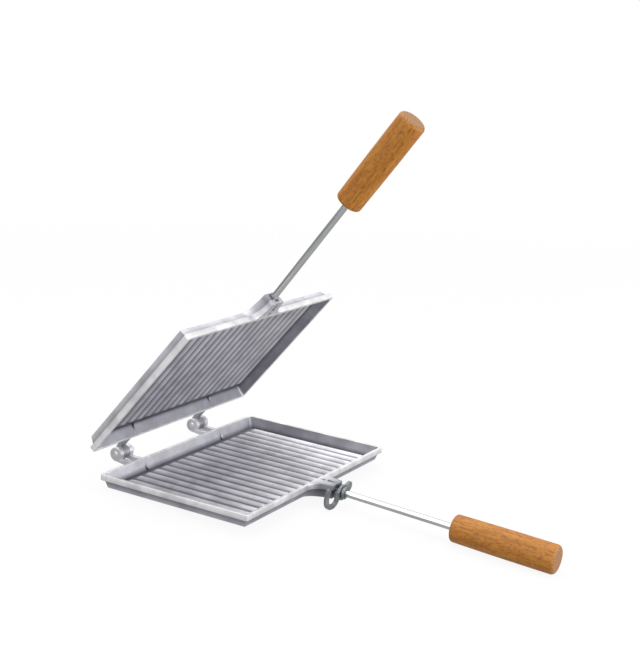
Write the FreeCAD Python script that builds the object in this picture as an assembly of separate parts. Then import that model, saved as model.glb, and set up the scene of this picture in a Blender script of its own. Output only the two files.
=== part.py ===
import FreeCAD, Part
import math
import os

# Driving sizes of the pie iron, in mm
plate_width = 240.0
plate_depth = 156.0
plate_height = 13.0
rod_radius = 3.0
grip_start = 134.0
grip_end = 229.0
grip_radius = 12.5

# Angles, in degrees
open_angle = 51.0
rod_spread = 2.7
latch_rest_angle = 15.0
slot_angle = 62.0
hook_tip_angle = 30.0
latch_bend_angle = 14.0

# Shared clearances and the overrun of every cut
fixed_fit = 0.03
running_fit = 0.06
side_gap = 0.35
overrun = 3.0

# Cast plates: rim, walls, floor and ribs
corner_radius = 2.5
lip_overhang = 3.0
lip_height = 5.4
rim_width = 2.8
wall_draft = 1.8
floor_thickness = 2.6
cavity_draft = 4.5
rib_count = 18
rib_width = 8.6
rib_height = 1.9
rib_end_gap = 4.0
rib_end_slope = 4.5
wall_slot_width = 1.8
wall_slot_depth = 1.6

# Neck that holds the rod, cast in one with each plate
neck_length = 18.0
neck_end_half = 9.0
neck_fillet = 14.0
neck_mouth_radius = 4.1
neck_mouth_depth = 2.2
rod_drop = 6.5
rod_tang = 3.0
neck_pin_setback = 12.0
neck_pin_radius = 1.6
neck_pin_stop = 0.8

# Hinge knuckles, lugs and pins
hinge_offset = 23.0
hinge_spacing = 120.0
knuckle_radius = 6.5
ear_width = 5.0
lug_width = 8.0
arm_root = 4.2
arm_top_drop = 3.5
arm_bottom_drop = 10.0
hinge_pin_radius = 2.2
pin_head_radius = 3.4
pin_head_thickness = 1.0
pin_tail = 6.0

# Swing latch and its collar on the lower rod
latch_thickness = 2.2
latch_neck_gap = 3.8
latch_hub_radius = 7.2
latch_bend_reach = 7.8
latch_arm_width = 4.6
latch_slot_clearance = 0.9
thumb_reach = 11.5
thumb_radius = 4.6
collar_radius = 5.6
collar_thickness = 2.6

# Grips: eased edges, and how far the rod ends short of the outer face
grip_edge = 2.4
grip_nose = 3.0
rod_end_cover = 12.0

# Places worked out from the sizes above
rim_z = plate_height
rod_z = rim_z - rod_drop
hinge_x = -0.5 * plate_depth - hinge_offset
handle_x = 0.5 * plate_depth
spread_sin = math.sin(math.radians(rod_spread))
spread_cos = math.cos(math.radians(rod_spread))
neck_pin_x = neck_length - neck_pin_setback
latch_s = neck_length + latch_neck_gap
latch_mid_s = latch_s + 0.5 * latch_thickness
rod_gap = 2.0 * (rod_drop + latch_mid_s * spread_sin)
latch_reach = rod_gap * spread_cos / math.cos(math.radians(2.0 * rod_spread))
bend_sin = math.sin(math.radians(latch_bend_angle))
bend_cos = math.cos(math.radians(latch_bend_angle))
slot_radius = (rod_radius + 0.5 * latch_thickness * bend_sin) / bend_cos + latch_slot_clearance
hook_radius = slot_radius + latch_arm_width
hook_middle = latch_bend_reach + (latch_reach - latch_bend_reach + 0.5 * latch_thickness * bend_sin) / bend_cos
collar_s = latch_s + latch_thickness + side_gap

X_AXIS = FreeCAD.Vector(1, 0, 0)
Y_AXIS = FreeCAD.Vector(0, 1, 0)
Z_AXIS = FreeCAD.Vector(0, 0, 1)


def vec(x, y, z):
    return FreeCAD.Vector(x, y, z)


def rounded_wire(half_x, half_y, radius, z):
    """Rectangle with round corners, level at height z."""
    turn = radius * (1.0 - math.sqrt(0.5))
    inner_x = half_x - radius
    inner_y = half_y - radius
    edges = []
    for sx, sy in ((1, 1), (-1, 1), (-1, -1), (1, -1)):
        ends = [vec(sx * half_x, sy * inner_y, z), vec(sx * inner_x, sy * half_y, z)]
        if sx * sy < 0:
            ends.reverse()
        middle = vec(sx * (half_x - turn), sy * (half_y - turn), z)
        edges.append(Part.Arc(ends[0], middle, ends[1]).toShape())
    corners = list(edges)
    for k, edge in enumerate(corners):
        after = corners[(k + 1) % len(corners)]
        edges.append(Part.makeLine(edge.lastVertex().Point, after.firstVertex().Point))
    return Part.Wire(Part.__sortEdges__(edges))


def tapered_block(half_x, half_y, radius, z_low, z_high, inset_low):
    """Round-cornered block whose lower face is smaller by inset_low all round."""
    low = rounded_wire(half_x - inset_low, half_y - inset_low, radius, z_low)
    high = rounded_wire(half_x, half_y, radius, z_high)
    return Part.makeLoft([low, high], True, True)


def cut_plate_cavity(shell):
    """Hollow of the tray, with drafted walls, cut from above the rim."""
    depth = plate_height - floor_thickness
    slope = cavity_draft / depth
    grow = slope * overrun
    half_x = 0.5 * plate_depth - rim_width + grow
    half_y = 0.5 * plate_width - rim_width + grow
    inset = cavity_draft + grow
    hollow = tapered_block(half_x, half_y, corner_radius, floor_thickness, rim_z + overrun, inset)
    return shell.cut(hollow)


def rib(y, length):
    """Rounded rib on the floor, along X, with sloping ends."""
    curve = (rib_height ** 2 + (0.5 * rib_width) ** 2) / (2.0 * rib_height)
    axis_z = floor_thickness + rib_height - curve
    bar = Part.makeCylinder(curve, length, vec(-0.5 * length, y, axis_z), X_AXIS)
    base_z = 0.5 * floor_thickness
    top_z = floor_thickness + rib_height + overrun
    reach = rib_end_slope * (top_z - base_z) / rib_height
    outline = [
        vec(-0.5 * length, y - rib_width, base_z),
        vec(0.5 * length, y - rib_width, base_z),
        vec(0.5 * length - reach, y - rib_width, top_z),
        vec(-0.5 * length + reach, y - rib_width, top_z),
        vec(-0.5 * length, y - rib_width, base_z),
    ]
    keep = Part.Face(Part.makePolygon(outline)).extrude(vec(0, 2.0 * rib_width, 0))
    return bar.common(keep)


def plate_ribs():
    """Row of ribs spread evenly over the floor, parallel to the handle."""
    floor_x = plate_depth - 2.0 * (rim_width + cavity_draft)
    floor_y = plate_width - 2.0 * (rim_width + cavity_draft)
    pitch = floor_y / rib_count
    length = floor_x - 2.0 * rib_end_gap
    return [rib((k + 0.5) * pitch - 0.5 * floor_y, length) for k in range(rib_count)]


def neck_outline(z):
    """Top view of the neck: wide at the plate, drawn in by two hollow curves."""
    x_in = handle_x - rim_width
    x_side = handle_x + neck_fillet
    x_end = handle_x + neck_length
    side_half = neck_end_half + (neck_length - neck_fillet) * spread_sin
    base_half = side_half + neck_fillet
    bend = neck_fillet * (1.0 - math.sqrt(0.5))
    edges = []
    for sy in (-1, 1):
        start = vec(handle_x, sy * base_half, z)
        middle = vec(handle_x + bend, sy * (side_half + bend), z)
        stop = vec(x_side, sy * side_half, z)
        edges.append(Part.makeLine(vec(x_in, sy * base_half, z), start))
        edges.append(Part.Arc(start, middle, stop).toShape())
        edges.append(Part.makeLine(stop, vec(x_end, sy * neck_end_half, z)))
    edges.append(Part.makeLine(vec(x_end, -neck_end_half, z), vec(x_end, neck_end_half, z)))
    edges.append(Part.makeLine(vec(x_in, -base_half, z), vec(x_in, base_half, z)))
    return Part.Wire(Part.__sortEdges__(edges))


def neck_block():
    """Solid neck from the underside of the plate up to the rim."""
    return Part.Face(neck_outline(0)).extrude(vec(0, 0, plate_height))


def rod_point(s):
    """Point on the lower rod's axis, s along it from the handle-side rim."""
    return vec(handle_x + s * spread_cos, 0, rod_z - s * spread_sin)


def rod_direction():
    return vec(spread_cos, 0, -spread_sin)


def rod_cylinder(radius, s_from, s_to):
    return Part.makeCylinder(radius, s_to - s_from, rod_point(s_from), rod_direction())


def neck_bores():
    """Rod socket, its wider mouth and the cross hole for the neck pin."""
    socket = rod_cylinder(rod_radius + fixed_fit, -rod_tang - fixed_fit, neck_length + overrun)
    mouth = rod_cylinder(neck_mouth_radius, neck_length - neck_mouth_depth, neck_length + overrun)
    return [socket, mouth, neck_pin_shape(neck_pin_radius + fixed_fit, overrun)]


def neck_pin_shape(radius, above):
    """Pin straight down through the neck and the rod, blind at the bottom."""
    height = plate_height - neck_pin_stop + above
    foot = vec(handle_x + neck_pin_x, 0, neck_pin_stop)
    return Part.makeCylinder(radius, height, foot, Z_AXIS)


def knuckle_arm(y_from, y_to, up):
    """Round knuckle on the hinge axis with an arm to the wall. The arm lies below
    the parting plane for an ear, where up is 1, and above it for a lug, where up is -1."""
    anchor_x = -0.5 * plate_depth + arm_root
    top_z = rim_z - up * arm_top_drop
    bottom_z = rim_z - up * arm_bottom_drop
    width = y_to - y_from
    knuckle = Part.makeCylinder(knuckle_radius, width, vec(hinge_x, y_from, rim_z), Y_AXIS)
    tangent = tangent_point(anchor_x, bottom_z, -up)
    corners = [
        vec(hinge_x, y_from, top_z),
        vec(anchor_x, y_from, top_z),
        vec(anchor_x, y_from, bottom_z),
        vec(tangent.x, y_from, tangent.z),
        vec(hinge_x, y_from, top_z),
    ]
    arm = Part.Face(Part.makePolygon(corners)).extrude(vec(0, width, 0))
    return knuckle.fuse(arm)


def tangent_point(x, z, side):
    """Where the line from (x, z) touches the knuckle, on its upper or lower side."""
    dx = x - hinge_x
    dz = z - rim_z
    distance = math.hypot(dx, dz)
    turn = math.atan2(dz, dx) + side * math.acos(knuckle_radius / distance)
    return vec(hinge_x + knuckle_radius * math.cos(turn), 0, rim_z + knuckle_radius * math.sin(turn))


def hinge_centres():
    return (-0.5 * hinge_spacing, 0.5 * hinge_spacing)


def hinge_hole(y, extra):
    half = 0.5 * lug_width + ear_width + side_gap + overrun
    start = vec(hinge_x, y - half, rim_z)
    return Part.makeCylinder(hinge_pin_radius + extra, 2.0 * half, start, Y_AXIS)


def ears():
    """Two ears on each side of each lug, part of the lower casting."""
    shapes = []
    for y in hinge_centres():
        inner = 0.5 * lug_width + side_gap
        outer = inner + ear_width
        shapes.append(knuckle_arm(y - outer, y - inner, 1))
        shapes.append(knuckle_arm(y + inner, y + outer, 1))
    return shapes


def lugs():
    """Middle lug of each hinge, drawn as it lies when the iron is shut."""
    half = 0.5 * lug_width
    return [knuckle_arm(y - half, y + half, -1) for y in hinge_centres()]


def wall_slots():
    """Narrow notches at the foot of the hinge-side wall, in line with each hinge."""
    x_face = -0.5 * plate_depth + rim_width + cavity_draft - wall_slot_depth
    length = wall_slot_depth + side_gap
    height = plate_height - floor_thickness + overrun
    shapes = []
    for y in hinge_centres():
        corner = vec(x_face, y - 0.5 * wall_slot_width, floor_thickness)
        shapes.append(Part.makeBox(length, wall_slot_width, height, corner))
    return shapes


def cast_plate():
    """Tray with overhanging lip, drafted walls, ribbed floor and neck."""
    half_x = 0.5 * plate_depth
    half_y = 0.5 * plate_width
    lip_z = plate_height - lip_height
    body = tapered_block(half_x - lip_overhang, half_y - lip_overhang, corner_radius, 0, lip_z, wall_draft)
    lip = tapered_block(half_x, half_y, corner_radius, lip_z, rim_z, 0)
    shell = body.fuse([lip, neck_block()])
    shell = cut_plate_cavity(shell)
    shell = shell.fuse(plate_ribs())
    return shell.cut(neck_bores() + wall_slots())


def mirrored(shape):
    """Other half of the iron, mirrored in the parting plane at the rim."""
    return shape.mirror(vec(0, 0, rim_z), Z_AXIS)


def opened(shape):
    """Upper half swung open about the hinge axis to the rest pose."""
    turned = shape.copy()
    turned.rotate(vec(hinge_x, 0, rim_z), Y_AXIS, -open_angle)
    return turned


def lower_plate():
    plate = cast_plate().fuse(ears())
    holes = [hinge_hole(y, fixed_fit) for y in hinge_centres()]
    return plate.cut(holes).removeSplitter()


def upper_plate():
    plate = mirrored(cast_plate()).fuse(lugs())
    holes = [hinge_hole(y, running_fit) for y in hinge_centres()]
    return opened(plate.cut(holes).removeSplitter())


def handle_rod():
    """Round steel rod from the socket in the neck into the grip."""
    rod = rod_cylinder(rod_radius, -rod_tang, grip_end - rod_end_cover)
    return rod.cut(neck_pin_shape(neck_pin_radius + fixed_fit, overrun))


def neck_pin():
    return neck_pin_shape(neck_pin_radius, 0)


def grip():
    """Turned wooden grip with eased ends and a blind bore."""
    length = grip_end - grip_start
    turned_profile = [
        (0, 0),
        (0, grip_radius - grip_edge),
        (grip_edge, grip_radius),
        (length - grip_nose, grip_radius),
        (length, grip_radius - grip_nose),
        (length, 0),
        (0, 0),
    ]
    outline = Part.makePolygon([vec(s, radius, 0) for s, radius in turned_profile])
    solid = Part.Face(outline).revolve(vec(0, 0, 0), X_AXIS, 360)
    bore_end = length - rod_end_cover + fixed_fit
    bore = Part.makeCylinder(rod_radius + fixed_fit, bore_end + overrun, vec(-overrun, 0, 0), X_AXIS)
    return along_rod(solid.cut(bore), grip_start)


def along_rod(shape, s):
    """Set a shape drawn about the X axis onto the lower rod at s."""
    placed = shape.copy()
    placed.rotate(vec(0, 0, 0), Y_AXIS, rod_spread)
    placed.translate(rod_point(s))
    return placed


def disc(radius, y, z):
    return Part.makeCylinder(radius, latch_thickness, vec(0, y, z), X_AXIS)


def ring_point(radius, angle):
    """Point on a circle about the rod, turned up from the hook side (-Y)."""
    turn = math.radians(angle)
    return vec(0, -radius * math.cos(turn), radius * math.sin(turn))


def ring_sector(r_inner, r_outer, angle):
    """Part of a ring about the rod, from the hook side up by the angle."""
    edges = []
    for radius in (r_inner, r_outer):
        points = [ring_point(radius, share * angle) for share in (0, 0.5, 1)]
        edges.append(Part.Arc(*points).toShape())
    for turn in (0, angle):
        edges.append(Part.makeLine(ring_point(r_inner, turn), ring_point(r_outer, turn)))
    outline = Part.Wire(Part.__sortEdges__(edges))
    return Part.Face(outline).extrude(vec(latch_thickness, 0, 0))


def strip(y_from, y_to, half_width):
    """Part of the latch plate between two distances across the rod."""
    corner = vec(0, y_from, -half_width)
    return Part.makeBox(latch_thickness, y_to - y_from, 2.0 * half_width, corner)


def latch_hub():
    """Hub and thumb lobe of the latch, square to the rod, out to the bend."""
    root_half = math.sqrt(hook_radius ** 2 - (hook_middle - latch_bend_reach) ** 2)
    parts = [
        strip(-latch_bend_reach, 0, root_half),
        strip(0, thumb_reach, thumb_radius),
        disc(thumb_radius, thumb_reach, 0),
    ]
    return disc(latch_hub_radius, 0, 0).fuse(parts)


def latch_claw():
    """C-shaped hook beyond the bend. Its slot follows the upper rod's path, so
    that the rod slides in as the latch turns about the lower rod."""
    arm_middle = hook_middle + slot_radius + 0.5 * latch_arm_width
    tip = math.radians(hook_tip_angle)
    tip_y = -arm_middle * math.cos(tip)
    tip_z = arm_middle * math.sin(tip)
    parts = [
        ring_sector(hook_middle + slot_radius, hook_middle + hook_radius, hook_tip_angle),
        disc(0.5 * latch_arm_width, tip_y, tip_z),
    ]
    blank = disc(hook_radius, -hook_middle, 0).fuse(parts)
    slot_end = disc(slot_radius, -hook_middle, 0)
    slot = ring_sector(hook_middle - slot_radius, hook_middle + slot_radius, slot_angle)
    beyond = strip(-2.0 * hook_middle, -latch_bend_reach, 2.0 * hook_radius)
    return blank.cut([slot_end, slot]).common(beyond)


def latch_hook():
    """Swing latch: a flat hub on the lower rod, with its claw bent towards the plates."""
    claw = latch_claw()
    claw.rotate(vec(latch_thickness, -latch_bend_reach, 0), Z_AXIS, -latch_bend_angle)
    hole = disc(rod_radius + running_fit, 0, 0)
    plate = latch_hub().fuse(claw).cut(hole).removeSplitter()
    plate.rotate(vec(0, 0, 0), X_AXIS, latch_rest_angle)
    return along_rod(plate, latch_s)


def latch_collar():
    """Collar pressed on the rod beside the latch."""
    ring = Part.makeCylinder(collar_radius, collar_thickness, vec(0, 0, 0), X_AXIS)
    bore = Part.makeCylinder(rod_radius + fixed_fit, collar_thickness, vec(0, 0, 0), X_AXIS)
    return along_rod(ring.cut(bore), collar_s)


def hinge_pin(y):
    """Headed pin through both ears and the lug, with a plain tail."""
    half = 0.5 * lug_width + side_gap + ear_width
    length = 2.0 * half + pin_tail
    shank = Part.makeCylinder(hinge_pin_radius, length, vec(hinge_x, y - half, rim_z), Y_AXIS)
    head_y = y - half - pin_head_thickness
    head = Part.makeCylinder(pin_head_radius, pin_head_thickness, vec(hinge_x, head_y, rim_z), Y_AXIS)
    return shank.fuse(head).removeSplitter()


def hinge_pins():
    return Part.makeCompound([hinge_pin(y) for y in hinge_centres()])


def build():
    """Every physical piece of the iron, by node name."""
    return {
        "lower_plate": lower_plate(),
        "upper_plate": upper_plate(),
        "lower_rod": handle_rod(),
        "upper_rod": opened(mirrored(handle_rod())),
        "lower_grip": grip(),
        "upper_grip": opened(mirrored(grip())),
        "lower_neck_pin": neck_pin(),
        "upper_neck_pin": opened(mirrored(neck_pin())),
        "hinge_pins": hinge_pins(),
        "latch_hook": latch_hook(),
        "latch_collar": latch_collar(),
    }


os.makedirs("parts", exist_ok=True)
for node, shape in build().items():
    shape.exportStep("parts/" + node + ".step")
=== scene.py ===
import math

import bmesh
import bpy
import numpy as np
from mathutils import Matrix, Vector


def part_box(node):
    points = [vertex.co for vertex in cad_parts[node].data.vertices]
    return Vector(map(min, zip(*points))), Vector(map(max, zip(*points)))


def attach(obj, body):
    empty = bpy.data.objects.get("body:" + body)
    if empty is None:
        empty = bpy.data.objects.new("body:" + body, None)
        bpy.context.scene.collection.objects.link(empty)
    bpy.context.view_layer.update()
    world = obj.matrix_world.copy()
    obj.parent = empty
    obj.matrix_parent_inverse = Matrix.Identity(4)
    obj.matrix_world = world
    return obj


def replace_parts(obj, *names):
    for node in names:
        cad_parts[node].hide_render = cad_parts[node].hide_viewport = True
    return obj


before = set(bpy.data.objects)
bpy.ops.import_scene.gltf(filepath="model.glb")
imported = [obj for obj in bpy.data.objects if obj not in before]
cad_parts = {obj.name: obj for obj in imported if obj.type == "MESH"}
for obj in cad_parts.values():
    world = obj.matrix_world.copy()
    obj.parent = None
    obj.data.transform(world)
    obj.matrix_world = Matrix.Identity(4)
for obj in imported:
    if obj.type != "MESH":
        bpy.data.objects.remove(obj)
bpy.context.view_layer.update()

MM = 0.001

# Sizes of the iron, in metres, as the solids have them
PLATE_WIDTH = 240 * MM
PLATE_DEPTH = 156 * MM
PLATE_HEIGHT = 13 * MM
CORNER_RADIUS = 2.5 * MM
RIM_WIDTH = 2.8 * MM
LIP_HEIGHT = 5.4 * MM
LIP_OVERHANG = 3 * MM
WALL_DRAFT = 1.8 * MM
CAVITY_DRAFT = 4.5 * MM
FLOOR = 2.6 * MM
RIB_COUNT = 18
RIB_HEIGHT = 1.9 * MM
RIB_END_GAP = 4 * MM
SLOT_DEPTH = 1.6 * MM
NECK_LENGTH = 18 * MM
NECK_HALF = 9 * MM
NECK_FILLET = 14 * MM
NECK_MOUTH = 4.1 * MM
NECK_MOUTH_DEPTH = 2.2 * MM
NECK_PIN_X = 6 * MM
NECK_PIN_RADIUS = 1.6 * MM
NECK_PIN_STOP = 0.8 * MM
ROD_DROP = 6.5 * MM
ROD_RADIUS = 3 * MM
ROD_TANG = 3 * MM
ROD_SPREAD = math.radians(2.7)
GRIP_START = 134 * MM
GRIP_END = 229 * MM
ROD_END_COVER = 12 * MM
HINGE_OFFSET = 23 * MM
HINGE_Y = 60 * MM
KNUCKLE_RADIUS = 6.5 * MM
EAR_WIDTH = 5 * MM
LUG_WIDTH = 8 * MM
ARM_ROOT = 4.2 * MM
ARM_TOP = 3.5 * MM
ARM_BOTTOM = 10 * MM
SIDE_GAP = 0.35 * MM
PIN_RADIUS = 2.2 * MM
PIN_HEAD = 1 * MM
PIN_TAIL = 6 * MM
FIXED_FIT = 0.03 * MM
OPEN_ANGLE = math.radians(51)

# Forms that are softer or rounder here than in the solids
RIM_GAP = 0.04 * MM
RIB_HALF = 5.6 * MM
RIB_END_SLOPE = 5 * MM
SLOT_HALF = 1.8 * MM
FLOOR_FILLET = 1.2 * MM
EDGE_ROUND = 0.5 * MM
BASE_ROUND = 1.2 * MM
BASE_CORNER = 0.6 * MM
NECK_CORNER = 1.6 * MM
ROD_EDGE = 0.3 * MM
GRIP_RADIUS_INNER = 12.2 * MM
GRIP_RADIUS_OUTER = 12.8 * MM
GRIP_SWELL = 0.25 * MM
GRIP_EDGE = 2.2 * MM
GRIP_NOSE = 3.4 * MM
KNUCKLE_EDGE = 0.7 * MM
PIN_HEAD_RADIUS = 3 * MM
PIN_EDGE = 0.5 * MM
LATCH_EDGE = 0.5 * MM
COLLAR_EDGE = 0.4 * MM
SHARP_ANGLE = math.radians(40)

# Points this close become one, in new surfaces and in copies of the solids
WELD = 1e-7
SOLID_WELD = 1e-6

# Rubbed brightness and painted shade of each surface: 0 is painted shade in hollows, 1 an edge rubbed bright
RIM_WEAR = 1.0
LIP_WEAR = 0.8
# The step under the lip is darker as painted shade
STEP_SHADE = 0.35
WALL_WEAR = 0.6
BASE_WEAR = 0.45
# Painted shade in the grooves between the ribs; the rib crests are rubbed brighter
GROOVE_SHADE = 0.2
RIB_WEAR = 0.78
# Painted shade along the foot of the cavity walls, and the inner wall's level above it, kept low as painted
# shade
FOOT_SHADE = 0.09
INNER_WALL_SHADE = 0.28
INNER_EDGE_WEAR = 0.6
# The rod socket's walls are darkened as painted shade
SOCKET_SHADE = 0.15
PIN_HOLE_WEAR = 0.9
EAR_WEAR = 0.6
# The lugs between the ears are darker as painted shade
LUG_SHADE = 0.28
# Share by which the neck's outside is darkened, as painted shade
NECK_SHADE = 0.5

HINGE_X = -PLATE_DEPTH / 2 - HINGE_OFFSET
HANDLE_X = PLATE_DEPTH / 2
# Each dressed rim stops short of the parting plane, so that the halves don't run into each other when closed
RIM_TOP = PLATE_HEIGHT - RIM_GAP
CAVITY_HALF = np.array([PLATE_DEPTH / 2, PLATE_WIDTH / 2]) - RIM_WIDTH - CAVITY_DRAFT


def smooth(t):
    """Smoothstep: 0 below 0, 1 above 1, and 3t^2 - 2t^3 between."""
    t = np.clip(t, 0, 1)
    return t * t * (3 - 2 * t)


def to_upper(points):
    """Mirrors points in the rim plane, then turns them about the hinge axis by the opening angle."""
    x = points[..., 0] - HINGE_X
    z = PLATE_HEIGHT - points[..., 2]
    c, s = math.cos(OPEN_ANGLE), math.sin(OPEN_ANGLE)
    return np.stack([HINGE_X + x * c - z * s, points[..., 1], PLATE_HEIGHT + x * s + z * c], -1)


def grid_quads(rows, cols, first=0, wrap=False):
    """Quads of a grid of rows x cols vertices; wrap joins the last column to the first."""
    r = np.arange(rows - 1)[:, None]
    c = np.arange(cols if wrap else cols - 1)[None, :]
    n = (c + 1) % cols
    quads = np.stack([r * cols + c, (r + 1) * cols + c, (r + 1) * cols + n, r * cols + n], -1)
    return quads.reshape(-1, 4) + first


def closed_mesh(name, points, faces, local, worn):
    """Smooth-shaded mesh with its doubled points merged. faces is a list of arrays, with one row of vertex
    numbers for a face. The two point attributes are for the materials: local is the place on the piece, and
    the other runs from 0, painted shade in hollows and recesses, to 1 on the edges rubbed bright."""
    points = np.asarray(points, float).reshape(-1, 3)
    local = np.asarray(local, float).reshape(-1, 3)
    mesh = bpy.data.meshes.new(name)
    mesh.from_pydata(points.tolist(), [], [face for rows in faces for face in rows.tolist()])
    mesh.attributes.new("local", "FLOAT_VECTOR", "POINT").data.foreach_set("vector", local.ravel())
    mesh.attributes.new("worn", "FLOAT", "POINT").data.foreach_set("value", worn + np.zeros(len(points)))
    mesh.polygons.foreach_set("use_smooth", np.ones(len(mesh.polygons), bool))
    mesh.update()
    tidy = bmesh.new()
    tidy.from_mesh(mesh)
    bmesh.ops.remove_doubles(tidy, verts=tidy.verts, dist=WELD)
    tidy.to_mesh(mesh)
    tidy.free()
    return mesh


def piece(name, points, faces, material, body, local=None, upper=False, cutters=(), worn=0.5,
          rounding=0):
    """An object from points and faces given for the lower half; upper turns it into its mirror piece. The
    local attribute holds the points as they lie in the lower half, or in the piece's own axes."""
    points = np.asarray(points, float).reshape(-1, 3)
    local = points if local is None else local
    if upper:
        points = to_upper(points)
        faces = [rows[:, ::-1] for rows in faces]
        cutters = [(to_upper(p), [rows[:, ::-1] for rows in f], place, wear_shade) for p, f, place, wear_shade in cutters]
    mesh = closed_mesh(name, points, faces, local, worn)
    mesh.set_sharp_from_angle(angle=SHARP_ANGLE)
    obj = bpy.data.objects.new(name, mesh)
    bpy.context.scene.collection.objects.link(obj)
    mesh.materials.append(material)
    for cutter in cutters:
        cut_out(obj, cutter)
    if rounding:
        round_edges(obj, rounding)
    weigh_normals(obj)
    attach(obj, body)
    return obj


def round_edges(obj, width):
    """Rounds the sharp edges with three facets of the given width."""
    bevel = obj.modifiers.new("edges", "BEVEL")
    bevel.width = width
    bevel.segments = 3
    bevel.limit_method = "ANGLE"
    bevel.angle_limit = math.radians(35)


def weigh_normals(obj):
    """Keeps the large flat faces flat beside their small rounded edges."""
    normals = obj.modifiers.new("normals", "WEIGHTED_NORMAL")
    normals.keep_sharp = True


def cut_out(obj, cutter):
    """Cuts a closed surface, given as closed_mesh takes it, out of the object's mesh."""
    mesh = closed_mesh("cutter", *cutter)
    tool = bpy.data.objects.new("cutter", mesh)
    bpy.context.scene.collection.objects.link(tool)
    cut = obj.modifiers.new("cut", "BOOLEAN")
    cut.object = tool
    cut.solver = "EXACT"
    graph = bpy.context.evaluated_depsgraph_get()
    whole = bpy.data.meshes.new_from_object(obj.evaluated_get(graph))
    whole.name = obj.name
    obj.modifiers.clear()
    obj.data = whole
    bpy.data.objects.remove(tool)
    whole.set_sharp_from_angle(angle=SHARP_ANGLE)


def rounded_rectangle(p, half, size, radius, reach=None):
    """Moves points p of the rectangle with half sizes half onto a round-cornered one with half sizes size:
    each is scaled out to the half sizes reach (size if not given), then set at the radius from the nearest
    point of the inner core, which is size less the radius."""
    q = p * np.array(size if reach is None else reach) / np.array(half)
    core = np.array(size) - radius
    nearest = np.clip(q, -core, core)
    out = q - nearest
    length = np.linalg.norm(out, axis=1, keepdims=True)
    normal = out / np.maximum(length, 1e-9)
    return nearest + radius * normal, normal


def neck_side():
    """Half of the neck's outline from the plate to the end's middle, with its outward normals and the length
    along it: a hollow arc, a straight side, a small round corner and half the end."""
    side = NECK_HALF + (NECK_LENGTH - NECK_FILLET) * math.sin(ROD_SPREAD)
    turn = np.linspace(math.pi, 1.5 * math.pi, 60)
    arc_n = np.stack([-np.cos(turn), -np.sin(turn)], 1)
    arc = np.array([HANDLE_X + NECK_FILLET, side + NECK_FILLET]) - NECK_FILLET * arc_n
    bend = np.linspace(math.pi / 2, 0, 14)
    corner_n = np.stack([np.cos(bend), np.sin(bend)], 1)
    end_x = HANDLE_X + NECK_LENGTH
    corner = np.array([end_x - NECK_CORNER, NECK_HALF - NECK_CORNER]) + NECK_CORNER * corner_n
    line = np.linspace(arc[-1], corner[0], 10)[1:-1]
    end = np.linspace(corner[-1], [end_x, 0], 10)[1:]
    points = np.concatenate([arc, line, corner, end])
    line_n = np.tile([0.0, 1.0], (len(line), 1))
    end_n = np.tile([1.0, 0.0], (len(end), 1))
    normals = np.concatenate([arc_n, line_n, corner_n, end_n])
    along = np.concatenate([[0], np.cumsum(np.linalg.norm(np.diff(points, axis=0), axis=1))])
    return points, normals, along


def outer_outline(p, half):
    """Outline of the casting seen from above, one point for each perimeter point p, with its outward normal
    and how far along the neck it lies (0 at its root, 1 at its end, -1 off the neck)."""
    points, normals = rounded_rectangle(p, half, (PLATE_DEPTH / 2, PLATE_WIDTH / 2), CORNER_RADIUS)
    neck, neck_normals, along = neck_side()
    base = neck[0, 1]
    on_neck = (points[:, 0] > HANDLE_X - SOLID_WELD) & (abs(points[:, 1]) < base)
    reach = (1 - abs(points[on_neck, 1]) / base) * along[-1]
    sign = np.where(points[on_neck, 1] < 0, -1.0, 1.0)
    for k in (0, 1):
        flip = sign if k else 1.0
        points[on_neck, k] = np.interp(reach, along, neck[:, k]) * flip
        normals[on_neck, k] = np.interp(reach, along, neck_normals[:, k]) * flip
    share = np.full(len(p), -1.0)
    share[on_neck] = reach / along[-1]
    return points, normals, share


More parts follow.
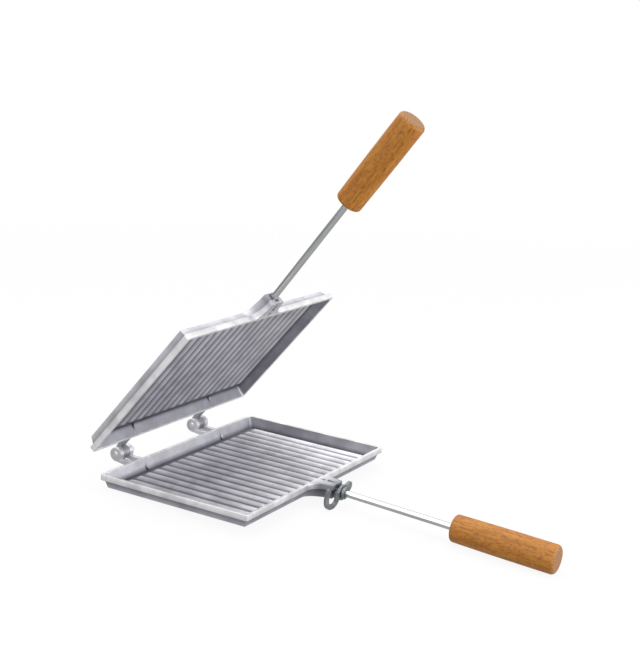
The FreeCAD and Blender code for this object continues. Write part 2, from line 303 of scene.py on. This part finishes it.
def casting(name, material, body, bright, outside_shade_power, upper=False):
    """One cast plate as a closed surface. The floor is a height field: a row of bell-shaped ribs,
    (1 - (y/half)^2)^2, each with sloping ends. Rings run out from its edge, up the drafted inner wall, over
    the rim, down the lip, under it and down the outer wall, and a flat grid closes the base. The outer rings
    swell out on the handle side into the neck. Of the two numbers, the first scales the values in the hollow
    and below 1 darkens them as painted shade; the values outside are raised to the power of the second,
    which above 1 darkens them as painted shade."""
    half = CAVITY_HALF - FLOOR_FILLET
    # The grid is finer over this length at both sides of the floor, where the ribs end
    fine = 12 * MM
    middle = half[0] - fine
    xs = np.concatenate([np.linspace(-half[0], -middle, 16)[:-1], np.linspace(-middle, middle, 26),
                         np.linspace(middle, half[0], 16)[1:]])
    floor_y = 2 * CAVITY_HALF[1]
    pitch = floor_y / RIB_COUNT
    rib_steps = 16
    ys = np.linspace(-half[1], half[1], RIB_COUNT * rib_steps + 1)
    gx, gy = np.meshgrid(xs, ys, indexing="ij")
    from_rib = (gy + floor_y / 2) % pitch - pitch / 2
    bell = np.clip(1 - (from_rib / RIB_HALF) ** 2, 0, 1) ** 2
    ends = smooth((CAVITY_HALF[0] - RIB_END_GAP - abs(gx)) / RIB_END_SLOPE)
    top = np.stack([gx, gy, FLOOR + RIB_HEIGHT * bell * ends], -1)
    nx, ny = len(xs) - 1, len(ys) - 1
    index = np.arange((nx + 1) * (ny + 1)).reshape(nx + 1, ny + 1)
    loop = np.concatenate([index[:-1, 0], index[-1, :-1], index[:0:-1, -1], index[0, :0:-1]])
    edge = top.reshape(-1, 3)[loop, :2]
    rings = inner_rings(edge, half, bright) + outer_rings(edge, half, outside_shade_power)
    # The flat base lies a little inside the last ring
    base_share = 0.985
    base = np.stack([gx * base_share, gy * base_share, 0 * gx], -1)
    points = np.concatenate([top.reshape(-1, 3)] + [ring for ring, wear_shade in rings] + [base.reshape(-1, 3)])
    # Painted shade in the grooves between the rib crests, which are rubbed brighter; a scale below 1 darkens
    # all as shade
    floor_wear_and_shade = bright * (GROOVE_SHADE + RIB_WEAR * bell ** 0.75 * ends)
    base_wear = np.full(gx.size, BASE_WEAR)
    worn = np.concatenate([floor_wear_and_shade.ravel()] + [wear_shade for ring, wear_shade in rings] + [base_wear])
    count = top.size // 3
    span = len(loop)
    quads = [grid_quads(nx + 1, ny + 1)]
    quads.append(strip(loop, count + np.arange(span)))
    quads.append(grid_quads(len(rings), span, count, wrap=True))
    last = count + (len(rings) - 1) * span
    first_base = count + len(rings) * span
    quads.append(strip(last + np.arange(span), first_base + loop))
    quads.append(grid_quads(nx + 1, ny + 1, first_base)[:, ::-1])
    return piece(name, points, [np.concatenate(quads)], material, body, upper=upper,
                 cutters=[rod_socket(), pin_hole()], worn=worn)


def rod_socket():
    """Stepped bore of the neck: a close socket for the rod with a wider mouth."""
    fit = ROD_RADIUS + FIXED_FIT
    mouth = NECK_LENGTH - NECK_MOUTH_DEPTH
    overrun = 3 * MM
    out = NECK_LENGTH + overrun
    profile = [(-ROD_TANG, 0), (-ROD_TANG, fit), (mouth, fit)]
    profile += [(mouth, NECK_MOUTH), (out, NECK_MOUTH), (out, 0)]
    points, local, faces = lathe(profile, on_rod, 48)
    # The socket's walls carry painted shade
    return points, faces, points, SOCKET_SHADE


def pin_hole():
    """Upright blind hole of the neck pin, open at the rim."""
    radius = NECK_PIN_RADIUS + FIXED_FIT
    overrun = 2 * MM
    top = PLATE_HEIGHT + overrun
    profile = [(NECK_PIN_STOP, 0), (NECK_PIN_STOP, radius), (top, radius), (top, 0)]
    points, local, faces = lathe(profile, upright, 48)
    return points, faces, points, PIN_HOLE_WEAR


def upright(local):
    """(along, x, y) about the neck pin's axis, with along counted up from the rest plane."""
    return np.stack([HANDLE_X + NECK_PIN_X + local[..., 1], local[..., 2], local[..., 0]], -1)


def strip(inner, outer):
    """Quads between two closed loops of vertex numbers, inner then outer, counter-clockwise from above."""
    return np.stack([inner, outer, np.roll(outer, -1), np.roll(inner, -1)], 1)


def inner_rings(edge, half, bright):
    """Rings of the cavity with their rubbed brightness and painted shade: a round fillet at the floor, the
    drafted wall and the rounded inner edge of the rim. The foot of the wall is darkened as painted shade,
    fading up the wall. The hinge-side wall has a small notch in line with each hinge, painted dark as shade
    at its foot, fading upwards."""
    # The painted shade at the foot of the walls fades out over this height
    foot_shade_height = 4 * MM
    # The painted shade in each notch fades out over this height
    notch_height = 8 * MM
    steps = [(-FLOOR_FILLET * (1 - math.sin(a)), FLOOR + FLOOR_FILLET * (1 - math.cos(a)))
             for a in np.linspace(0, math.pi / 2, 6)[1:]]
    slope = CAVITY_DRAFT / (PLATE_HEIGHT - FLOOR)
    for z in np.linspace(FLOOR + FLOOR_FILLET, RIM_TOP - EDGE_ROUND, 7)[1:]:
        steps.append(((z - FLOOR) * slope, z))
    top = steps[-1][0]
    for a in np.linspace(0, math.pi / 2, 5)[1:]:
        steps.append((top + EDGE_ROUND * (1 - math.cos(a)), RIM_TOP - EDGE_ROUND * (1 - math.sin(a))))
    foot = -CAVITY_HALF[0] - SLOT_DEPTH
    rings = []
    for grow, z in steps:
        flat, normal = rounded_rectangle(edge, half, CAVITY_HALF + grow, CORNER_RADIUS + min(grow, 0))
        hinge_side = normal[:, 0] < -0.9
        near = np.clip(2 - 2 * abs(abs(flat[:, 1]) - HINGE_Y) / SLOT_HALF, 0, 1) * hinge_side
        flat[:, 0] = np.minimum(flat[:, 0], flat[:, 0] + near * (foot - flat[:, 0]))
        wear_shade = bright * (FOOT_SHADE + INNER_WALL_SHADE * smooth((z - FLOOR) / foot_shade_height))
        wear_shade += INNER_EDGE_WEAR * smooth((z - RIM_TOP) / EDGE_ROUND + 1)
        # Painted shade low in each notch, fading upwards
        dark = near * (1 - smooth((z - FLOOR) / notch_height))
        rings.append((np.column_stack([flat, np.full(len(flat), z)]), wear_shade * (1 - dark)))
    return rings


def outer_rings(edge, half, outside_shade_power):
    """Rings of the outside with their rubbed brightness and painted shade: rim edge, lip, the step under the
    lip, darkened as painted shade, the drafted wall and the rounded base edge. Each is the outline moved in
    by its inset. Along the neck a share of the inset is left out, so that it keeps within the corners. The
    neck is painted darker than the rest, as shade."""
    outline, normal, share = outer_outline(edge, half)
    plate = np.array([PLATE_DEPTH / 2, PLATE_WIDTH / 2])
    under = PLATE_HEIGHT - LIP_HEIGHT
    # Full from a little under half way along the neck's outline
    on_neck = smooth(share * 2.2)
    step_share, wall_share = 0.82, 0.78
    turn = np.linspace(0, math.pi / 2, 5)
    steps = []
    for a in turn:
        steps.append((EDGE_ROUND * (1 - math.sin(a)), 0, RIM_TOP - EDGE_ROUND * (1 - math.cos(a)), RIM_WEAR))
    for a in turn:
        steps.append((EDGE_ROUND * (1 - math.cos(a)), 0, under + EDGE_ROUND * (1 - math.sin(a)), LIP_WEAR))
    for a in turn:
        inset = LIP_OVERHANG - EDGE_ROUND * (1 - math.sin(a))
        steps.append((inset, step_share, under - EDGE_ROUND * (1 - math.cos(a)), STEP_SHADE))
    for a in np.linspace(0, math.pi / 2, 7):
        inset = LIP_OVERHANG + WALL_DRAFT + BASE_ROUND * (1 - math.cos(a))
        steps.append((inset, wall_share, BASE_ROUND * (1 - math.sin(a)), WALL_WEAR))
    rings = []
    for inset, less, z, wear_shade in steps:
        radius = max(CORNER_RADIUS - inset, BASE_CORNER)
        off_neck = rounded_rectangle(edge, half, plate - inset, radius, plate)[0]
        along_neck = outline - normal * (inset * (1 - less * on_neck))[:, None]
        flat = np.where(share[:, None] < 0, off_neck, along_neck)
        # Painted shade: the neck is darkened by its share, and a power above 1 darkens the whole outside
        wear_shade = (wear_shade * (1 - NECK_SHADE * on_neck)) ** outside_shade_power
        rings.append((np.column_stack([flat, np.full(len(flat), z)]), wear_shade))
    return rings


def lathe(profile, place, segments):
    """A profile of (distance along, radius) turned about an axis; place turns (along, y, z) into the iron's
    space. Both ends close on the axis."""
    profile = np.asarray(profile, float)
    turn = np.linspace(0, 2 * math.pi, segments, endpoint=False)
    along = np.repeat(profile[:, :1], segments, 1)
    y = profile[:, 1:] * np.cos(turn)
    z = profile[:, 1:] * np.sin(turn)
    local = np.stack([along, y, z], -1)
    return place(local), local, [grid_quads(len(profile), segments, wrap=True)]


def on_rod(local):
    """(along, y, z) about the lower rod's axis, with along counted from the rim."""
    c, s = math.cos(ROD_SPREAD), math.sin(ROD_SPREAD)
    x = HANDLE_X + local[..., 0] * c + local[..., 2] * s
    z = PLATE_HEIGHT - ROD_DROP - local[..., 0] * s + local[..., 2] * c
    return np.stack([x, local[..., 1], z], -1)


def on_hinge(local):
    """(along, y, z) about the hinge axis, with along counted towards +Y."""
    return np.stack([HINGE_X + local[..., 1], local[..., 0], PLATE_HEIGHT - local[..., 2]], -1)


def rounded_edge(along, radius, size, start, steps=6):
    """Quarter-circle edge of a turned piece, from its end face out to its side (start) or back in."""
    a = np.linspace(0, math.pi / 2, steps)
    if start:
        return list(zip(along + size * (1 - np.sin(math.pi / 2 - a)), radius - size * (1 - np.sin(a))))
    return list(zip(along - size * (1 - np.sin(a)), radius - size * (1 - np.cos(a))))


def rod(name, material, body, upper):
    """Straight round rod with eased ends, from its tang in the neck to its end inside the grip."""
    in_grip = 20 * MM
    profile = [(-ROD_TANG, 0)] + rounded_edge(-ROD_TANG, ROD_RADIUS, ROD_EDGE, True)
    profile += [(s, ROD_RADIUS) for s in np.linspace(0, GRIP_START + in_grip, 60)]
    end = GRIP_END - ROD_END_COVER
    profile += rounded_edge(end, ROD_RADIUS, ROD_EDGE, False) + [(end, 0)]
    points, local, quads = lathe(profile, on_rod, 48)
    return piece(name, points, quads, material, body, local, upper)


def grip(name, material, body, upper):
    """Turned grip: a straight taper with a faint swell, sin(pi t), a small eased edge at the rod and a
    rounder nose."""
    length = GRIP_END - GRIP_START
    t = np.linspace(0, 1, 60)
    side = GRIP_RADIUS_INNER + (GRIP_RADIUS_OUTER - GRIP_RADIUS_INNER) * t + GRIP_SWELL * np.sin(math.pi * t)
    s = GRIP_START + length * t
    start = rounded_edge(GRIP_START, side[0], GRIP_EDGE, True)
    nose = rounded_edge(GRIP_END, side[-1], GRIP_NOSE, False, 10)
    body_part = [(a, r) for a, r in zip(s, side) if start[-1][0] < a < nose[0][0]]
    inner = [(GRIP_START, r) for r in np.linspace(0, start[0][1], 8)[:-1]]
    face = [(GRIP_END, r) for r in np.linspace(nose[-1][1], 0, 10)[1:]]
    points, local, quads = lathe(inner + start + body_part + nose + face, on_rod, 96)
    return piece(name, points, quads, material, body, local, upper)


def knuckle_outline():
    """Side view of an ear about the hinge axis: most of a circle, a level line along the top of the arm and a
    tangent along its bottom."""
    root_x = -PLATE_DEPTH / 2 + ARM_ROOT
    top = np.array([root_x, PLATE_HEIGHT - ARM_TOP])
    bottom = np.array([root_x, PLATE_HEIGHT - ARM_BOTTOM])
    centre = np.array([HINGE_X, PLATE_HEIGHT])
    d = bottom - centre
    last = math.atan2(d[1], d[0]) - math.acos(KNUCKLE_RADIUS / np.linalg.norm(d)) + 2 * math.pi
    first = -math.asin(ARM_TOP / KNUCKLE_RADIUS)
    turn = np.linspace(first, last, 44)
    circle = centre + KNUCKLE_RADIUS * np.stack([np.cos(turn), np.sin(turn)], 1)
    low = np.linspace(circle[-1], bottom, 8)[1:]
    high = np.linspace(top, circle[0], 8)[:-1]
    return np.concatenate([circle, low, high])


def knuckles(name, material, body, spans, upper, worn):
    """All the knuckles of one casting: for each span of Y the outline is carried straight across, with a flat
    face at each end, and its edges are then rounded."""
    outline = knuckle_outline()
    count = len(outline)
    ends = np.array(spans).reshape(-1)
    flat = np.broadcast_to(outline, (len(ends), count, 2))
    points = np.stack([flat[..., 0], np.repeat(ends[:, None], count, 1), flat[..., 1]], -1)
    ring = np.arange(count)
    near = (np.arange(len(spans)) * 2 * count)[:, None] + ring
    far = near + count
    sides = np.stack([near, far, np.roll(far, -1, 1), np.roll(near, -1, 1)], -1).reshape(-1, 4)
    return piece(name, points, [sides, near, far[:, ::-1]], material, body,
                 upper=upper, worn=worn, rounding=KNUCKLE_EDGE)


def hinge_pins(material):
    """Two pins: a low domed head, a plain shank and an eased tail."""
    half = LUG_WIDTH / 2 + SIDE_GAP + EAR_WIDTH
    turn = np.linspace(0, math.pi / 2, 10)
    dome = [(-half - PIN_HEAD * math.cos(a), PIN_HEAD_RADIUS * math.sin(a)) for a in turn]
    shank = [(-half, PIN_RADIUS)] + rounded_edge(half + PIN_TAIL, PIN_RADIUS, PIN_EDGE, False)
    profile = dome + shank + [(half + PIN_TAIL, 0)]
    points, quads, first = [], [], 0
    for y in (-HINGE_Y, HINGE_Y):
        placed, local, faces = lathe(profile, on_hinge, 32)
        placed = placed + np.array([0, y, 0])
        points.append(placed.reshape(-1, 3))
        quads.append(faces[0] + first)
        first += points[-1].shape[0]
    return piece("hinge_pin_pair", np.concatenate(points), quads, material, "lower_half")


def eased_copy(name, node, material, body, width):
    """A merged copy of a solid with its sharp edges rounded."""
    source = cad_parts[node]
    mesh = source.data.copy()
    mesh.transform(source.matrix_world)
    tidy = bmesh.new()
    tidy.from_mesh(mesh)
    bmesh.ops.remove_doubles(tidy, verts=tidy.verts, dist=SOLID_WELD)
    bmesh.ops.dissolve_limit(tidy, angle_limit=math.radians(1), verts=tidy.verts, edges=tidy.edges)
    tidy.to_mesh(mesh)
    tidy.free()
    mesh.name = name
    mesh.materials.clear()
    mesh.materials.append(material)
    obj = bpy.data.objects.new(name, mesh)
    bpy.context.scene.collection.objects.link(obj)
    round_edges(obj, width)
    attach(obj, body)
    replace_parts(obj, node)
    return obj


def linear(colour):
    """sRGB hex to linear RGBA."""
    channels = [int(colour[k:k + 2], 16) / 255 for k in (1, 3, 5)]
    return [c / 12.92 if c <= 0.04045 else ((c + 0.055) / 1.055) ** 2.4 for c in channels] + [1.0]


def wire(tree, node, settings=None, links=None):
    """Gives a node its settings, which are properties, plain input values and a colour ramp's stops, each a
    place and a hex colour. Then it gets its links, which name the source for each socket. Sockets go by name
    or number."""
    for key, value in (settings or {}).items():
        if key == "stops":
            while len(node.color_ramp.elements) < len(value):
                node.color_ramp.elements.new(0.5)
            for element, (place, colour) in zip(node.color_ramp.elements, value):
                element.position = place
                element.color = linear(colour)
        elif isinstance(key, str) and hasattr(node, key):
            setattr(node, key, value)
        else:
            node.inputs[key].default_value = value
    for socket, source in (links or {}).items():
        tree.links.new(source, node.inputs[socket])


def add(tree, kind, settings=None, links=None):
    """Adds a shader node with its settings and links, as wire takes them."""
    node = tree.nodes.new(kind)
    wire(tree, node, settings, links)
    return node


def new_material(name):
    """A new material, its node tree and its surface shader."""
    material = bpy.data.materials.new(name)
    material.use_nodes = True
    tree = material.node_tree
    return material, tree, tree.nodes["Principled BSDF"]


def cast_aluminium():
    """Sand-cast aluminium, tumbled: a satin grey metal with a lilac cast, cloudy from the mould and slightly
    pitted. The ground rim and the rib tops are rubbed brighter; the grooves, the feet of the walls, the
    notches, the socket, the step under the lip and the lugs are painted darker as shade."""
    cloud_size = 22 * MM
    grain_size = 1.6 * MM
    pit_depth = 0.15 * MM
    # The darkest stops are painted shade for notches, wall feet, grooves and the socket; the palest are
    # rubbed edges
    by_wear_and_shade = [(0.0, "#3c3c41"), (0.15, "#8b8b94"), (0.3, "#abacb4"), (0.5, "#d4d4da"), (0.9, "#f8f8fa"),
               (1.0, "#fafafc")]
    by_cloud = [(0.3, "#dedadb"), (0.6, "#ffffff")]
    material, tree, shader = new_material("sand_cast_aluminium")
    local = add(tree, "ShaderNodeAttribute", {"attribute_name": "local"}).outputs["Vector"]
    worn = add(tree, "ShaderNodeAttribute", {"attribute_name": "worn"}).outputs["Fac"]
    cloud = add(tree, "ShaderNodeTexNoise", {"Scale": 1 / cloud_size, "Detail": 5.0, "Roughness": 0.6},
                {"Vector": local}).outputs["Fac"]
    grain = add(tree, "ShaderNodeTexNoise", {"Scale": 1 / grain_size, "Detail": 3.0}, {"Vector": local})
    tone = add(tree, "ShaderNodeValToRGB", {"stops": by_wear_and_shade}, {"Fac": worn})
    stain = add(tree, "ShaderNodeValToRGB", {"stops": by_cloud}, {"Fac": cloud})
    base = add(tree, "ShaderNodeMix", {"data_type": "RGBA", "blend_type": "MULTIPLY", 0: 1.0},
               {6: tone.outputs["Color"], 7: stain.outputs["Color"]})
    rough = add(tree, "ShaderNodeMapRange", {"To Min": 0.42, "To Max": 0.58}, {"Value": cloud})
    bump = add(tree, "ShaderNodeBump", {"Strength": 0.35, "Distance": pit_depth},
               {"Height": grain.outputs["Fac"]})
    wire(tree, shader, {"Metallic": 1.0},
         {"Base Color": base.outputs[2], "Roughness": rough.outputs["Result"],
          "Normal": bump.outputs["Normal"]})
    return material


def finish_steel(tree, shader, pattern, dark, pale, least, most):
    """A metal whose colour goes from dark to pale, and its roughness from least to most, with the pattern."""
    tone = add(tree, "ShaderNodeValToRGB", {"stops": [(0.3, dark), (0.7, pale)]}, {"Fac": pattern})
    rough = add(tree, "ShaderNodeMapRange", {"To Min": least, "To Max": most}, {"Value": pattern})
    wire(tree, shader, {"Metallic": 1.0},
         {"Base Color": tone.outputs["Color"], "Roughness": rough.outputs["Result"]})


def drawn_steel():
    """Bright drawn steel rod: smooth, with faint die lines drawn out along its length."""
    line_width = 0.5 * MM
    line_share = 0.02
    material, tree, shader = new_material("bright_drawn_steel")
    local = add(tree, "ShaderNodeAttribute", {"attribute_name": "local"}).outputs["Vector"]
    stretched = add(tree, "ShaderNodeMapping", {"Scale": (line_share, 1, 1)}, {"Vector": local})
    lines = add(tree, "ShaderNodeTexNoise", {"Scale": 1 / line_width, "Detail": 2.0},
                {"Vector": stretched.outputs["Vector"]})
    finish_steel(tree, shader, lines.outputs["Fac"], "#b4b6b8", "#e0e1e3", 0.1, 0.2)
    return material


def zinc_steel():
    """Zinc-plated pressed steel: a cool, rather matt mid grey with cloudy patches."""
    patch_size = 5 * MM
    material, tree, shader = new_material("zinc_plated_steel")
    place = add(tree, "ShaderNodeTexCoord").outputs["Object"]
    cloud = add(tree, "ShaderNodeTexNoise", {"Scale": 1 / patch_size, "Detail": 4.0}, {"Vector": place})
    finish_steel(tree, shader, cloud.outputs["Fac"], "#7e8385", "#9da1a3", 0.45, 0.6)
    return material


def ground_steel():
    """Plain steel of the pins, ground: bright grey, finely mottled by the grinding marks."""
    mark_size = 0.4 * MM
    material, tree, shader = new_material("ground_plain_steel")
    place = add(tree, "ShaderNodeTexCoord").outputs["Object"]
    marks = add(tree, "ShaderNodeTexNoise", {"Scale": 1 / mark_size, "Detail": 3.0}, {"Vector": place})
    finish_steel(tree, shader, marks.outputs["Fac"], "#c9cacd", "#e9eaec", 0.3, 0.5)
    return material


def varnished_wood():
    """Turned hardwood under a thin clear varnish: orange-brown with short dark flecks and streaks along the
    grain. The cut end is a greyer brown and shows arcs of growth rings, whose heart lies outside the grip."""
    streak_width = 2.6 * MM
    fleck_width = 1.5 * MM
    streak_share, fleck_share = 0.14, 0.45
    # Rings repeat every pi/10 of this unit, so they are about 2.5 mm apart
    ring_unit = 8 * MM
    heart = (0, 15 * MM, 10 * MM)
    side_until, end_from = GRIP_END - 1.2 * MM, GRIP_END - 0.2 * MM
    grain_depth = 0.1 * MM
    by_streak = [(0.28, "#a0620f"), (0.5, "#bf7a1e"), (0.74, "#d1933a")]
    by_fleck = [(0.34, "#b07a34"), (0.52, "#ffffff")]
    by_ring = [(0.1, "#96632f"), (0.9, "#b08052")]
    material, tree, shader = new_material("varnished_hardwood")
    local = add(tree, "ShaderNodeAttribute", {"attribute_name": "local"}).outputs["Vector"]
    streak_way = add(tree, "ShaderNodeMapping", {"Scale": (streak_share, 1, 1)}, {"Vector": local})
    streak = add(tree, "ShaderNodeTexNoise", {"Scale": 1 / streak_width, "Detail": 5.0, "Roughness": 0.65},
                 {"Vector": streak_way.outputs["Vector"]}).outputs["Fac"]
    fleck_way = add(tree, "ShaderNodeMapping", {"Scale": (fleck_share, 1, 1)}, {"Vector": local})
    fleck = add(tree, "ShaderNodeTexNoise", {"Scale": 1 / fleck_width, "Detail": 3.0},
                {"Vector": fleck_way.outputs["Vector"]}).outputs["Fac"]
    tone = add(tree, "ShaderNodeValToRGB", {"stops": by_streak}, {"Fac": streak})
    dark = add(tree, "ShaderNodeValToRGB", {"stops": by_fleck}, {"Fac": fleck})
    side = add(tree, "ShaderNodeMix", {"data_type": "RGBA", "blend_type": "MULTIPLY", 0: 0.5},
               {6: tone.outputs["Color"], 7: dark.outputs["Color"]})
    along = add(tree, "ShaderNodeSeparateXYZ", None, {"Vector": local}).outputs["X"]
    end = add(tree, "ShaderNodeMapRange", {"From Min": side_until, "From Max": end_from}, {"Value": along})
    heart_way = add(tree, "ShaderNodeMapping", {"Location": heart}, {"Vector": local})
    rings = add(tree, "ShaderNodeTexWave", {"wave_type": "RINGS", "rings_direction": "X",
                                            "Scale": 1 / ring_unit, "Distortion": 4.0, "Detail": 4.0},
                {"Vector": heart_way.outputs["Vector"]})
    cut = add(tree, "ShaderNodeValToRGB", {"stops": by_ring}, {"Fac": rings.outputs["Fac"]})
    whole = add(tree, "ShaderNodeMix", {"data_type": "RGBA"},
                {0: end.outputs["Result"], 6: side.outputs[2], 7: cut.outputs["Color"]})
    bump = add(tree, "ShaderNodeBump", {"Strength": 0.15, "Distance": grain_depth}, {"Height": streak})
    wire(tree, shader, {"Roughness": 0.55, "Coat Weight": 0.15, "Coat Roughness": 0.3},
         {"Base Color": whole.outputs[2], "Normal": bump.outputs["Normal"]})
    return material


def dress():
    """Every dressed piece, on its body and in place of its solid. The neck pins only get their material."""
    aluminium = cast_aluminium()
    steel = drawn_steel()
    zinc = zinc_steel()
    wood = varnished_wood()
    ground = ground_steel()
    half = LUG_WIDTH / 2
    near = half + SIDE_GAP
    far = near + EAR_WIDTH
    ear_spans = [span for y in (-HINGE_Y, HINGE_Y) for span in ((y - far, y - near), (y + near, y + far))]
    lug_spans = [(y - half, y + half) for y in (-HINGE_Y, HINGE_Y)]
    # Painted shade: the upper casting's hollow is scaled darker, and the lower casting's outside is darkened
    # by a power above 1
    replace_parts(casting("lower_casting", aluminium, "lower_half", 1.0, 1.6), "lower_plate")
    knuckles("lower_ears", aluminium, "lower_half", ear_spans, False, EAR_WEAR)
    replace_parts(casting("upper_casting", aluminium, "upper_half", 0.7, 1.0, True), "upper_plate")
    # The lugs are darker than the ears as painted shade
    knuckles("upper_lugs", aluminium, "upper_half", lug_spans, True, LUG_SHADE)
    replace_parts(rod("lower_handle_rod", steel, "lower_half", False), "lower_rod")
    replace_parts(rod("upper_handle_rod", steel, "upper_half", True), "upper_rod")
    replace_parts(grip("lower_wood_grip", wood, "lower_half", False), "lower_grip")
    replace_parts(grip("upper_wood_grip", wood, "upper_half", True), "upper_grip")
    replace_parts(hinge_pins(ground), "hinge_pins")
    eased_copy("swing_latch", "latch_hook", zinc, "latch", LATCH_EDGE)
    eased_copy("rod_collar", "latch_collar", zinc, "lower_half", COLLAR_EDGE)
    for node in ("lower_neck_pin", "upper_neck_pin"):
        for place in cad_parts[node].material_slots:
            place.material = ground


def seen_white(tree, path, matt, metal):
    """How much of a white surface a ray gets: all of it for the camera and glass, and otherwise the share
    given for matt faces or for metal."""
    clear = add(tree, "ShaderNodeMath", {"operation": "MAXIMUM"},
                {0: path["Is Camera Ray"], 1: path["Is Transmission Ray"]})
    part = add(tree, "ShaderNodeMapRange", {"To Min": matt, "To Max": metal},
               {"Value": path["Is Glossy Ray"]})
    seen = add(tree, "ShaderNodeMath", {"operation": "MAXIMUM"},
               {0: clear.outputs[0], 1: part.outputs["Result"]})
    return seen.outputs[0]


def stage():
    """A white paper floor: a low ridge under the plate's hinge-side base edge, one side falling to touch the
    lower grip's end, the other falling alike, clear of the iron opened flat. The camera and glass see it glow
    almost white, with the shadow showing faintly; metal and matt faces get about half that."""
    # The grip touches down a little way back from its end
    touch = 6 * MM
    size = 40.0
    # The shadow fades out between these distances from the ridge's middle
    near_fade, far_fade = 0.5, 2.0
    back = Vector((-PLATE_DEPTH / 2 + LIP_OVERHANG + WALL_DRAFT, 0, 0))
    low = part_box("lower_grip")[0]
    front = Vector((GRIP_END + HANDLE_X - touch, 0, low[2]))
    slope = math.atan2(back.z - front.z, front.x - back.x)
    fall = -size * math.tan(2 * slope)
    mesh = bpy.data.meshes.new("floor")
    points = [(-size, -size, fall), (0, -size, 0), (size, -size, 0),
              (-size, size, fall), (0, size, 0), (size, size, 0)]
    mesh.from_pydata(points, [], [(0, 1, 4, 3), (1, 2, 5, 4)])
    floor = bpy.data.objects.new("floor", mesh)
    floor.matrix_world = Matrix.Translation(back) @ Matrix.Rotation(slope, 4, "Y")
    bpy.context.scene.collection.objects.link(floor)
    material, tree = new_material("white_paper")[:2]
    tree.nodes.clear()
    seen = seen_white(tree, add(tree, "ShaderNodeLightPath").outputs, 0.4, 0.5)
    diffuse = add(tree, "ShaderNodeBsdfDiffuse", {"Color": linear("#f4f4f4")})
    glow = add(tree, "ShaderNodeEmission", {"Color": linear("#ffffff")}, {"Strength": seen})
    place = add(tree, "ShaderNodeTexCoord").outputs["Object"]
    away = add(tree, "ShaderNodeVectorMath", {"operation": "LENGTH"}, {0: place}).outputs["Value"]
    fade = add(tree, "ShaderNodeMapRange", {"From Min": near_fade, "From Max": far_fade, "To Min": 0.9,
                                            "To Max": 1.0}, {"Value": away}).outputs["Result"]
    mix = add(tree, "ShaderNodeMixShader", None, {0: fade, 1: diffuse.outputs[0], 2: glow.outputs[0]})
    add(tree, "ShaderNodeOutputMaterial", None, {"Surface": mix.outputs[0]})
    mesh.materials.append(material)


def studio():
    """White to the camera and glass, and in part to metal. For the rest it is a room that is white overhead
    and falls off, as a smooth step of the direction along a slightly backward slanting axis, to dark grey
    near the horizon. Matt faces get it at three quarters."""
    overhead = Vector((-0.2, 0.2, 0.96)).normalized()
    world = bpy.data.worlds.new("studio")
    world.use_nodes = True
    bpy.context.scene.world = world
    tree = world.node_tree
    tree.nodes.clear()
    way = add(tree, "ShaderNodeTexCoord").outputs["Generated"]
    toward = add(tree, "ShaderNodeVectorMath", {"operation": "DOT_PRODUCT", 1: overhead}, {0: way})
    room = add(tree, "ShaderNodeMapRange", {"interpolation_type": "SMOOTHSTEP", "From Min": 0.3,
                                            "From Max": 0.65, "To Min": 0.12, "To Max": 1.05},
               {"Value": toward.outputs["Value"]})
    path = add(tree, "ShaderNodeLightPath").outputs
    matt = add(tree, "ShaderNodeMapRange", {"To Min": 1.0, "To Max": 0.75}, {"Value": path["Is Diffuse Ray"]})
    lit = add(tree, "ShaderNodeMath", {"operation": "MULTIPLY"},
              {0: room.outputs["Result"], 1: matt.outputs["Result"]})
    level = add(tree, "ShaderNodeMix", {"data_type": "FLOAT", 3: 1.0},
                {0: seen_white(tree, path, 0.0, 0.25), 2: lit.outputs[0]})
    light = add(tree, "ShaderNodeBackground", {"Color": linear("#ffffff")}, {"Strength": level.outputs[0]})
    add(tree, "ShaderNodeOutputWorld", None, {"Surface": light.outputs[0]})


def lamp(name, place, target, power, width, height):
    """A rectangular lamp at a place, turned to its target. Its power is in watts."""
    light = bpy.data.lights.new(name, "AREA")
    light.energy = power
    light.shape = "RECTANGLE"
    light.size = width
    light.size_y = height
    obj = bpy.data.objects.new(name, light)
    way = Vector(target) - Vector(place)
    obj.matrix_world = Matrix.Translation(place) @ way.to_track_quat("-Z", "Y").to_matrix().to_4x4()
    bpy.context.scene.collection.objects.link(obj)


def lights():
    """A broad key above the hinge, a front fill and a low strip on the handle side."""
    aim = (0.05, 0, 0.1)
    lamp("key", (-0.5, 0.2, 1.8), aim, power=14, width=1.8, height=1.8)
    lamp("front", (-0.2, -1.8, 0.9), aim, power=15, width=2.0, height=1.6)
    lamp("side", (1.7, 0.3, 0.45), aim, power=24, width=2.0, height=0.8)


def camera():
    """The photograph's view: azimuth about 29.6 and elevation about 13.2 degrees, rolled by 3.9 degrees."""
    place = Vector((0.6457, -1.0190, 0.4233))
    aim = Vector((0.0363, 0.0537, 0.1350))
    roll = math.radians(3.88)
    data = bpy.data.cameras.new("camera")
    data.sensor_width = 36
    data.lens = 74.46
    obj = bpy.data.objects.new("camera", data)
    look = (aim - place).to_track_quat("-Z", "Y").to_matrix().to_4x4()
    obj.matrix_world = Matrix.Translation(place) @ look @ Matrix.Rotation(roll, 4, "Z")
    bpy.context.scene.collection.objects.link(obj)
    bpy.context.scene.camera = obj


dress()
stage()
studio()
lights()
camera()
bpy.context.scene.view_settings.view_transform = "Standard"
